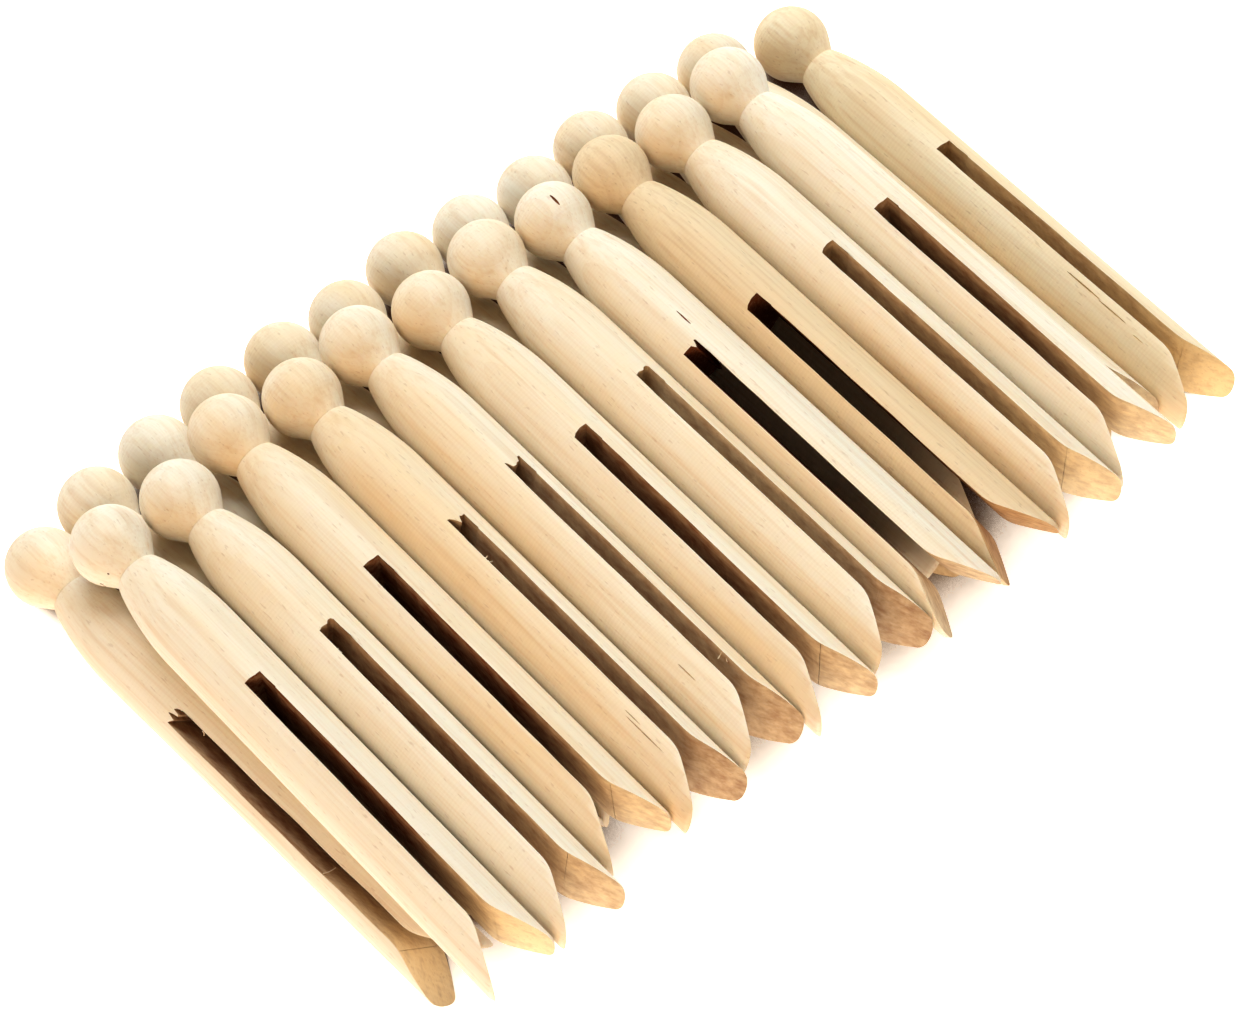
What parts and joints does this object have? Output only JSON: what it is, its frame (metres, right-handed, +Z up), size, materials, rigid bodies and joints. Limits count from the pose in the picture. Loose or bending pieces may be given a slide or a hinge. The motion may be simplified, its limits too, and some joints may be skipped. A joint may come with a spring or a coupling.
{
  "type": "bag clip",
  "caption": "Stack of turned one-piece wooden pegs with ball heads and split, flared legs that push over the folded edge of a bag or over a line.",
  "frame": {"origin": "on the ground, under the middle of the whole stack's box", "axes": "+X along the rows, +Y along the pegs towards their ball heads, +Z up"},
  "size_m": [0.1834, 0.1306, 0.0269],
  "materials": {
    "pale_beech": "raw turned wood, unsealed, matte",
    "tan_beech": "raw turned wood, unsealed, matte, a browner board",
    "warm_beech": "raw turned wood, unsealed, matte, a yellower board"
  },
  "bodies": {
    "bottom_peg_01": {"bottom_peg_01": "pale_beech"},
    "bottom_peg_02": {"bottom_peg_02": "pale_beech"},
    "bottom_peg_03": {"bottom_peg_03": "pale_beech"},
    "bottom_peg_04": {"bottom_peg_04": "pale_beech"},
    "bottom_peg_05": {"bottom_peg_05": "pale_beech"},
    "bottom_peg_06": {"bottom_peg_06": "pale_beech"},
    "bottom_peg_07": {"bottom_peg_07": "pale_beech"},
    "bottom_peg_08": {"bottom_peg_08": "pale_beech"},
    "bottom_peg_09": {"bottom_peg_09": "pale_beech"},
    "bottom_peg_10": {"bottom_peg_10": "pale_beech"},
    "bottom_peg_11": {"bottom_peg_11": "pale_beech"},
    "bottom_peg_12": {"bottom_peg_12": "pale_beech"},
    "bottom_peg_13": {"bottom_peg_13": "warm_beech"},
    "top_peg_01": {"top_peg_01": "pale_beech"},
    "top_peg_02": {"top_peg_02": "pale_beech"},
    "top_peg_03": {"top_peg_03": "pale_beech"},
    "top_peg_04": {"top_peg_04": "pale_beech"},
    "top_peg_05": {"top_peg_05": "pale_beech"},
    "top_peg_06": {"top_peg_06": "pale_beech"},
    "top_peg_07": {"top_peg_07": "pale_beech"},
    "top_peg_08": {"top_peg_08": "pale_beech"},
    "top_peg_09": {"top_peg_09": "tan_beech"},
    "top_peg_10": {"top_peg_10": "pale_beech"},
    "top_peg_11": {"top_peg_11": "pale_beech"}
  },
  "joints": [
    {"name": "draw_bottom_peg_01", "type": "slide", "parent": "bottom_peg_07", "child": "bottom_peg_01", "axis": [-0.0352, 0.9994, 0], "range_m": [0, 0.125]},
    {"name": "draw_bottom_peg_02", "type": "slide", "parent": "bottom_peg_07", "child": "bottom_peg_02", "axis": [-0.0333, 0.9994, 0], "range_m": [0, 0.125]},
    {"name": "draw_bottom_peg_03", "type": "slide", "parent": "bottom_peg_07", "child": "bottom_peg_03", "axis": [-0.0304, 0.9995, 0], "range_m": [0, 0.125]},
    {"name": "draw_bottom_peg_04", "type": "slide", "parent": "bottom_peg_07", "child": "bottom_peg_04", "axis": [-0.028, 0.9996, 0], "range_m": [0, 0.125]},
    {"name": "draw_bottom_peg_05", "type": "slide", "parent": "bottom_peg_07", "child": "bottom_peg_05", "axis": [-0.0266, 0.9996, 0], "range_m": [0, 0.125]},
    {"name": "draw_bottom_peg_06", "type": "slide", "parent": "bottom_peg_07", "child": "bottom_peg_06", "axis": [-0.0261, 0.9997, 0], "range_m": [0, 0.125]},
    {"name": "draw_bottom_peg_08", "type": "slide", "parent": "bottom_peg_07", "child": "bottom_peg_08", "axis": [-0.0238, 0.9997, 0], "range_m": [0, 0.125]},
    {"name": "draw_bottom_peg_09", "type": "slide", "parent": "bottom_peg_07", "child": "bottom_peg_09", "axis": [-0.0228, 0.9997, 0], "range_m": [0, 0.125]},
    {"name": "draw_bottom_peg_10", "type": "slide", "parent": "bottom_peg_07", "child": "bottom_peg_10", "axis": [-0.0214, 0.9998, 0], "range_m": [0, 0.125]},
    {"name": "draw_bottom_peg_11", "type": "slide", "parent": "bottom_peg_07", "child": "bottom_peg_11", "axis": [-0.0195, 0.9998, 0], "range_m": [0, 0.125]},
    {"name": "draw_bottom_peg_12", "type": "slide", "parent": "bottom_peg_07", "child": "bottom_peg_12", "axis": [-0.0176, 0.9998, 0], "range_m": [0, 0.125]},
    {"name": "draw_bottom_peg_13", "type": "slide", "parent": "bottom_peg_07", "child": "bottom_peg_13", "axis": [-0.0119, 0.9999, 0], "range_m": [0, 0.125]},
    {"name": "lift_top_peg_01", "type": "slide", "parent": "bottom_peg_07", "child": "top_peg_01", "axis": [0, 0, 1], "range_m": [0, 0.04]},
    {"name": "lift_top_peg_02", "type": "slide", "parent": "bottom_peg_07", "child": "top_peg_02", "axis": [0, 0, 1], "range_m": [0, 0.04]},
    {"name": "lift_top_peg_03", "type": "slide", "parent": "bottom_peg_07", "child": "top_peg_03", "axis": [0, 0, 1], "range_m": [0, 0.04]},
    {"name": "lift_top_peg_04", "type": "slide", "parent": "bottom_peg_07", "child": "top_peg_04", "axis": [0, 0, 1], "range_m": [0, 0.04]},
    {"name": "lift_top_peg_05", "type": "slide", "parent": "bottom_peg_07", "child": "top_peg_05", "axis": [0, 0, 1], "range_m": [0, 0.04]},
    {"name": "lift_top_peg_06", "type": "slide", "parent": "bottom_peg_07", "child": "top_peg_06", "axis": [0, 0, 1], "range_m": [0, 0.04]},
    {"name": "lift_top_peg_07", "type": "slide", "parent": "bottom_peg_07", "child": "top_peg_07", "axis": [0, 0, 1], "range_m": [0, 0.04]},
    {"name": "lift_top_peg_08", "type": "slide", "parent": "bottom_peg_07", "child": "top_peg_08", "axis": [0, 0, 1], "range_m": [0, 0.04]},
    {"name": "lift_top_peg_09", "type": "slide", "parent": "bottom_peg_07", "child": "top_peg_09", "axis": [0, 0, 1], "range_m": [0, 0.04]},
    {"name": "lift_top_peg_10", "type": "slide", "parent": "bottom_peg_07", "child": "top_peg_10", "axis": [0, 0, 1], "range_m": [0, 0.04]},
    {"name": "lift_top_peg_11", "type": "slide", "parent": "bottom_peg_07", "child": "top_peg_11", "axis": [0, 0, 1], "range_m": [0, 0.04]}
  ]
}
